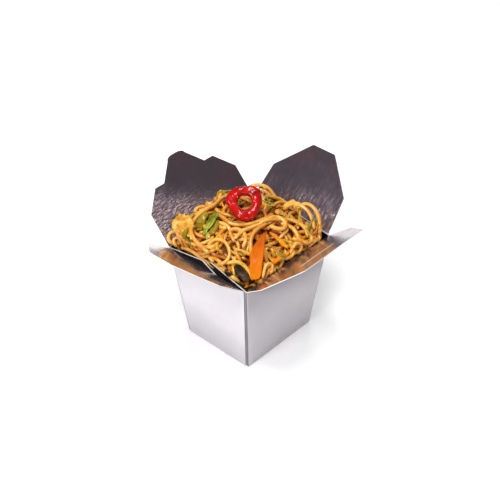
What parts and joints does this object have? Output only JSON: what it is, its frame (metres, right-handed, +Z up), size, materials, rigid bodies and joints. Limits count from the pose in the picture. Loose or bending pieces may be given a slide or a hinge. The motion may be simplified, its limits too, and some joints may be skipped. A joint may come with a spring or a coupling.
{
  "type": "noodle takeaway box",
  "caption": "Open folding card takeaway box with tapering sides and creased foil-lined flaps, heaped with stir-fried noodles and sliced vegetables.",
  "frame": {"origin": "middle of the base's underside, where the box stands", "axes": "+Z up; X along the wide sides, with the plain end flaps at +X and -X; the tab flap is at +Y and the slot flap at -Y"},
  "size_m": [0.1975, 0.1781, 0.1429],
  "materials": {
    "board": "white coated card, satin",
    "foil_board": "card lined with aluminium foil on its inner face",
    "noodle": "stir-fried wheat noodles, glossy with sauce",
    "pepper_skin": "fresh red pepper, glossy skin",
    "carrot": "fried carrot, moist",
    "leek": "fried leek, moist",
    "cabbage": "fried cabbage and onion, pale and translucent",
    "mushroom": "fried mushroom, dark and glossy"
  },
  "bodies": {
    "box": {"carton": "board", "noodles": "noodle", "pepper_ring": "pepper_skin", "carrot_slice": "carrot", "carrot_strip_upper": "carrot", "carrot_strip_lower": "carrot", "leek_long": "leek", "leek_stick": "leek", "cabbage_left": "cabbage", "onion_top": "cabbage", "mushroom_front": "mushroom"},
    "tab_flap": {"flap_tab": "foil_board"},
    "slot_flap": {"flap_slot": "foil_board"},
    "back_end_flap": {"flap_end_back": "foil_board"},
    "front_end_flap": {"flap_end_front": "foil_board"}
  },
  "joints": [
    {"name": "tab_flap_crease", "type": "hinge", "parent": "box", "child": "tab_flap", "pos_m": [0, 0.0442, 0.0938], "axis": [1, 0, 0], "range_deg": [-100, 17]},
    {"name": "slot_flap_crease", "type": "hinge", "parent": "box", "child": "slot_flap", "pos_m": [0, -0.0442, 0.0938], "axis": [-1, 0, 0], "range_deg": [-100, 34]},
    {"name": "back_end_flap_crease", "type": "hinge", "parent": "box", "child": "back_end_flap", "pos_m": [0.0525, 0, 0.0938], "axis": [0, -1, 0], "range_deg": [-100, 17]},
    {"name": "front_end_flap_crease", "type": "hinge", "parent": "box", "child": "front_end_flap", "pos_m": [-0.0525, 0, 0.0938], "axis": [0, 1, 0], "range_deg": [-100, 27]}
  ]
}
